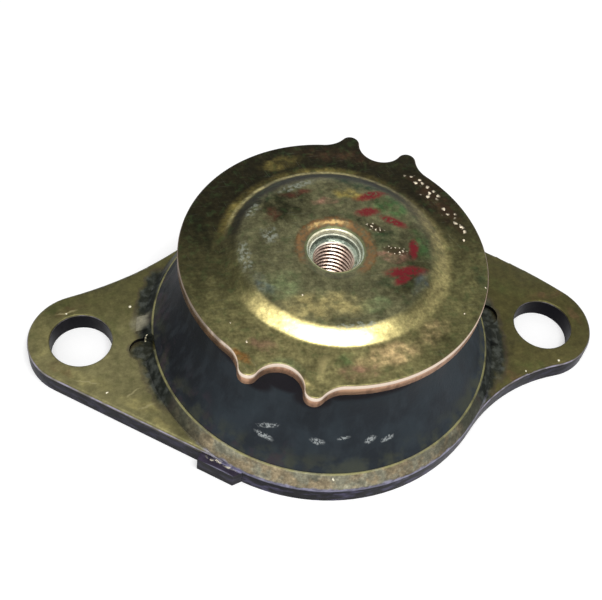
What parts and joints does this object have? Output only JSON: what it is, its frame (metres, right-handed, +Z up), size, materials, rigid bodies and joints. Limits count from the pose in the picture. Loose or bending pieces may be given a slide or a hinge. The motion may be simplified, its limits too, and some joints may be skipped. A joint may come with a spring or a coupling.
{
  "type": "transmission mount",
  "caption": "Steel plate with bolt ears, cone of bonded rubber and lobed steel disc with a threaded bush: it holds a gearbox on its crossmember and damps it.",
  "frame": {"origin": "on the bush axis, in the plane of the underside of the base plate", "axes": "+Z up along the bush axis, out of its mouth; +X along the line through the ear holes"},
  "size_m": [0.1648, 0.101, 0.0435],
  "materials": {
    "passivated_steel": "yellow-passivated zinc on steel",
    "bush_steel": "bare turned steel",
    "spring_rubber": "matt black rubber"
  },
  "bodies": {
    "root": {"base_plate": "passivated_steel", "rubber_spring": "spring_rubber", "top_disc": "passivated_steel", "threaded_bush": "bush_steel"}
  },
  "joints": []
}
